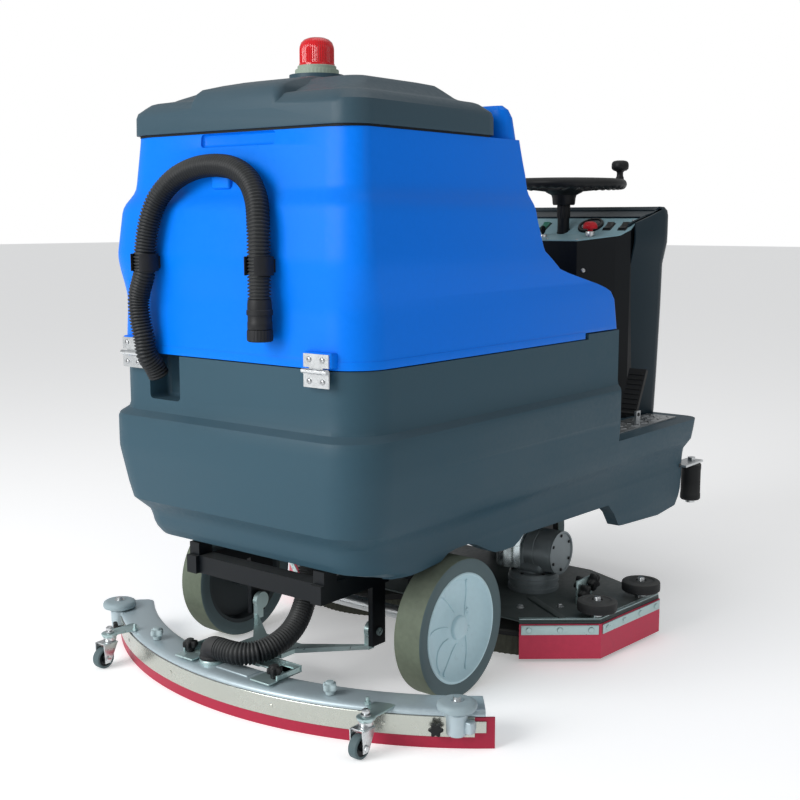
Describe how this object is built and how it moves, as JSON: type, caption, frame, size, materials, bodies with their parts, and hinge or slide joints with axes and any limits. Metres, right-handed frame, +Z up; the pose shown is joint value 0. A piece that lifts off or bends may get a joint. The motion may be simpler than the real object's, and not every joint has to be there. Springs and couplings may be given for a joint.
{
  "type": "ride on scrubber",
  "caption": "Battery ride-on floor scrubber dryer with disc brush deck, curved rear squeegee and a tipping recovery tank.",
  "frame": {"origin": "on the floor under the middle of the machine's length and width", "axes": "+Z up, the machine drives towards -Y, +X is the machine's left side"},
  "size_m": [1.134, 1.624, 1.412],
  "materials": {
    "black_steel": "powder coated, satin",
    "grey_plastic": "rotomoulded, fine grain",
    "black_plastic": "moulded, satin",
    "cowl_plastic": "rotomoulded, fine grain",
    "black_sheet": "powder coated, fine texture",
    "light_panel": "satin",
    "tread_plate": "embossed, worn",
    "zinc": "bright zinc plated",
    "stainless": "bright",
    "hose_rubber": "corrugated, semi-gloss",
    "blue_plastic": "rotomoulded, semi-gloss",
    "seat_vinyl": "black vinyl, grained",
    "motor_metal": "satin",
    "lid_plastic": "rotomoulded, fine grain",
    "beacon_grey": "satin",
    "beacon_lens": "translucent, glossy",
    "wheel_black": "moulded, satin",
    "tyre_grey": "non-marking rubber, dusty",
    "hub_plastic": "moulded, satin",
    "red_plastic": "glossy",
    "green_plastic": "glossy",
    "roller_black": "satin",
    "deck_steel": "zinc plated, wet",
    "red_rubber": "gum rubber, satin",
    "cast_aluminium": "cast, blasted",
    "bristle": "nylon bristle",
    "roller_grey": "nylon, satin"
  },
  "bodies": {
    "chassis": {"frame": "black_steel", "solution_tank": "grey_plastic", "battery_pack": "black_plastic", "front_cowl": "cowl_plastic", "column_housing": "black_sheet", "control_panel": "light_panel", "pedal_base": "tread_plate", "bumper_brackets": "zinc", "lower_hinges": "stainless", "rear_axle": "zinc", "lift_actuator": "black_plastic", "vacuum_hose": "hose_rubber"},
    "recovery_tank_body": {"recovery_tank": "blue_plastic", "seat_pads": "seat_vinyl", "upper_hinges": "stainless", "hose_clips": "black_plastic", "suction_unit": "motor_metal", "drain_hose": "hose_rubber", "drain_cuff": "hose_rubber"},
    "drain_cap_body": {"drain_cap": "hose_rubber"},
    "lid_body": {"tank_lid": "lid_plastic", "beacon_base": "beacon_grey", "beacon_dome": "beacon_lens"},
    "steering": {"steering_wheel": "wheel_black", "steering_shaft": "black_steel"},
    "knob_body": {"spinner_knob": "wheel_black"},
    "fork_body": {"drive_fork": "black_steel"},
    "drive_wheel_body": {"drive_wheel": "tyre_grey"},
    "rear_wheel_left": {"rear_tyre_left": "tyre_grey", "rear_hub_left": "hub_plastic"},
    "rear_wheel_right": {"rear_tyre_right": "tyre_grey", "rear_hub_right": "hub_plastic"},
    "pedal_body": {"accelerator_pedal": "black_plastic"},
    "stop_body": {"emergency_stop": "red_plastic"},
    "key_body": {"key": "black_plastic"},
    "direction_body": {"direction_switch": "green_plastic"},
    "vacuum_switch_body": {"vacuum_switch": "black_plastic"},
    "brush_switch_body": {"brush_switch": "black_plastic"},
    "bumper_left": {"bumper_roller_left": "roller_black"},
    "bumper_right": {"bumper_roller_right": "roller_black"},
    "link_body": {"deck_link": "black_steel"},
    "deck_body": {"deck_plate": "deck_steel", "deck_skirt": "red_rubber", "brush_gearmotors": "cast_aluminium"},
    "brush_left_body": {"brush_left": "bristle"},
    "brush_right_body": {"brush_right": "bristle"},
    "guard_rear_left": {"deck_roller_rear_left": "roller_black"},
    "guard_rear_right": {"deck_roller_rear_right": "roller_black"},
    "guard_front_left": {"deck_roller_front_left": "roller_black"},
    "guard_front_right": {"deck_roller_front_right": "roller_black"},
    "arm_body": {"squeegee_arm": "cast_aluminium"},
    "squeegee": {"squeegee_body": "cast_aluminium", "squeegee_blades": "red_rubber", "squeegee_knobs": "black_plastic"},
    "caster_left": {"caster_fork_left": "zinc"},
    "caster_right": {"caster_fork_right": "zinc"},
    "caster_wheel_left_body": {"caster_wheel_left": "roller_grey"},
    "caster_wheel_right_body": {"caster_wheel_right": "roller_grey"},
    "end_left": {"end_roller_left": "roller_grey"},
    "end_right": {"end_roller_right": "roller_grey"}
  },
  "joints": [
    {"name": "tank_tilt", "type": "hinge", "parent": "chassis", "child": "recovery_tank_body", "pos_m": [0, 0.774, 0.738], "axis": [-1, 0, 0], "range_deg": [0, 75]},
    {"name": "lid_hinge", "type": "hinge", "parent": "recovery_tank_body", "child": "lid_body", "pos_m": [0, 0.238, 1.228], "axis": [1, 0, 0], "range_deg": [0, 55]},
    {"name": "drain_cap_pull", "type": "slide", "parent": "recovery_tank_body", "child": "drain_cap_body", "axis": [0, 0, -1], "range_m": [0, 0.04]},
    {"name": "steering_turn", "type": "hinge", "parent": "chassis", "child": "steering", "pos_m": [0, -0.588, 1.124], "axis": [0, 0, 1], "range_deg": [-180, 180]},
    {"name": "spinner_turn", "type": "hinge", "parent": "steering", "child": "knob_body", "pos_m": [-0.11848, -0.69848, 1.16], "axis": [0, 0, 1], "continuous": true},
    {"name": "fork_turn", "type": "hinge", "parent": "chassis", "child": "fork_body", "pos_m": [0, -0.45, 0.28], "axis": [0, 0, 1], "range_deg": [-75, 75]},
    {"name": "drive_roll", "type": "hinge", "parent": "fork_body", "child": "drive_wheel_body", "pos_m": [0, -0.45, 0.125], "axis": [1, 0, 0], "continuous": true},
    {"name": "rear_roll_left", "type": "hinge", "parent": "chassis", "child": "rear_wheel_left", "pos_m": [0.328, 0.415, 0.1525], "axis": [1, 0, 0], "continuous": true},
    {"name": "rear_roll_right", "type": "hinge", "parent": "chassis", "child": "rear_wheel_right", "pos_m": [-0.328, 0.415, 0.1525], "axis": [1, 0, 0], "continuous": true},
    {"name": "pedal_press", "type": "hinge", "parent": "chassis", "child": "pedal_body", "pos_m": [-0.266, -0.5, 0.498], "axis": [1, 0, 0], "range_deg": [0, 15], "stiffness_Nm_per_rad": 3, "springref_deg": -8.59},
    {"name": "stop_press", "type": "slide", "parent": "chassis", "child": "stop_body", "axis": [0, 0, -1], "range_m": [0, 0.006]},
    {"name": "key_turn", "type": "hinge", "parent": "chassis", "child": "key_body", "pos_m": [0.034, -0.532, 0.99], "axis": [0, 0, 1], "range_deg": [0, 90]},
    {"name": "direction_rock", "type": "hinge", "parent": "chassis", "child": "direction_body", "pos_m": [0.074, -0.61, 0.999], "axis": [1, 0, 0], "range_deg": [-8, 8]},
    {"name": "vacuum_rock", "type": "hinge", "parent": "chassis", "child": "vacuum_switch_body", "pos_m": [-0.136, -0.61, 0.999], "axis": [1, 0, 0], "range_deg": [-8, 8]},
    {"name": "brush_rock", "type": "hinge", "parent": "chassis", "child": "brush_switch_body", "pos_m": [-0.184, -0.61, 0.999], "axis": [1, 0, 0], "range_deg": [-8, 8]},
    {"name": "bumper_spin_left", "type": "hinge", "parent": "chassis", "child": "bumper_left", "pos_m": [0.33, -0.783, 0.27], "axis": [0, 0, 1], "continuous": true},
    {"name": "bumper_spin_right", "type": "hinge", "parent": "chassis", "child": "bumper_right", "pos_m": [-0.33, -0.783, 0.27], "axis": [0, 0, 1], "continuous": true},
    {"name": "deck_lift", "type": "hinge", "parent": "chassis", "child": "link_body", "pos_m": [0, 0.215, 0.215], "axis": [-1, 0, 0], "range_deg": [0, 13]},
    {"name": "deck_level", "type": "hinge", "parent": "link_body", "child": "deck_body", "pos_m": [0, 0.01, 0.15], "axis": [-1, 0, 0], "range_deg": [-14, 1]},
    {"name": "brush_spin_left", "type": "hinge", "parent": "deck_body", "child": "brush_left_body", "pos_m": [0.236, -0.075, 0.05], "axis": [0, 0, 1], "continuous": true},
    {"name": "brush_spin_right", "type": "hinge", "parent": "deck_body", "child": "brush_right_body", "pos_m": [-0.236, -0.075, 0.05], "axis": [0, 0, 1], "continuous": true},
    {"name": "guard_spin_rear_left", "type": "hinge", "parent": "deck_body", "child": "guard_rear_left", "pos_m": [0.478, 0.032, 0.13], "axis": [0, 0, 1], "continuous": true},
    {"name": "guard_spin_rear_right", "type": "hinge", "parent": "deck_body", "child": "guard_rear_right", "pos_m": [-0.478, 0.032, 0.13], "axis": [0, 0, 1], "continuous": true},
    {"name": "guard_spin_front_left", "type": "hinge", "parent": "deck_body", "child": "guard_front_left", "pos_m": [0.487, -0.172, 0.13], "axis": [0, 0, 1], "continuous": true},
    {"name": "guard_spin_front_right", "type": "hinge", "parent": "deck_body", "child": "guard_front_right", "pos_m": [-0.487, -0.172, 0.13], "axis": [0, 0, 1], "continuous": true},
    {"name": "squeegee_lift", "type": "hinge", "parent": "chassis", "child": "arm_body", "pos_m": [0, 0.49, 0.13], "axis": [1, 0, 0], "range_deg": [0, 12], "deforming": ["vacuum_hose"]},
    {"name": "squeegee_swing", "type": "hinge", "parent": "arm_body", "child": "squeegee", "pos_m": [0, 0.64, 0.08], "axis": [0, 0, 1], "range_deg": [-7, 7]},
    {"name": "caster_swivel_left", "type": "hinge", "parent": "squeegee", "child": "caster_left", "pos_m": [0.386, 0.768, 0.06], "axis": [0, 0, 1], "continuous": true},
    {"name": "caster_roll_left", "type": "hinge", "parent": "caster_left", "child": "caster_wheel_left_body", "pos_m": [0.386, 0.788, 0.024], "axis": [1, 0, 0], "continuous": true},
    {"name": "end_spin_left", "type": "hinge", "parent": "squeegee", "child": "end_left", "pos_m": [0.509, 0.639, 0.095], "axis": [0, 0, 1], "continuous": true},
    {"name": "caster_swivel_right", "type": "hinge", "parent": "squeegee", "child": "caster_right", "pos_m": [-0.386, 0.768, 0.06], "axis": [0, 0, 1], "continuous": true},
    {"name": "caster_roll_right", "type": "hinge", "parent": "caster_right", "child": "caster_wheel_right_body", "pos_m": [-0.386, 0.788, 0.024], "axis": [1, 0, 0], "continuous": true},
    {"name": "end_spin_right", "type": "hinge", "parent": "squeegee", "child": "end_right", "pos_m": [-0.509, 0.639, 0.095], "axis": [0, 0, 1], "continuous": true}
  ],
  "couplings": [
    {"joint": "fork_turn", "follows": "steering_turn", "ratio": 0.4},
    {"joint": "deck_level", "follows": "deck_lift", "ratio": -1}
  ]
}
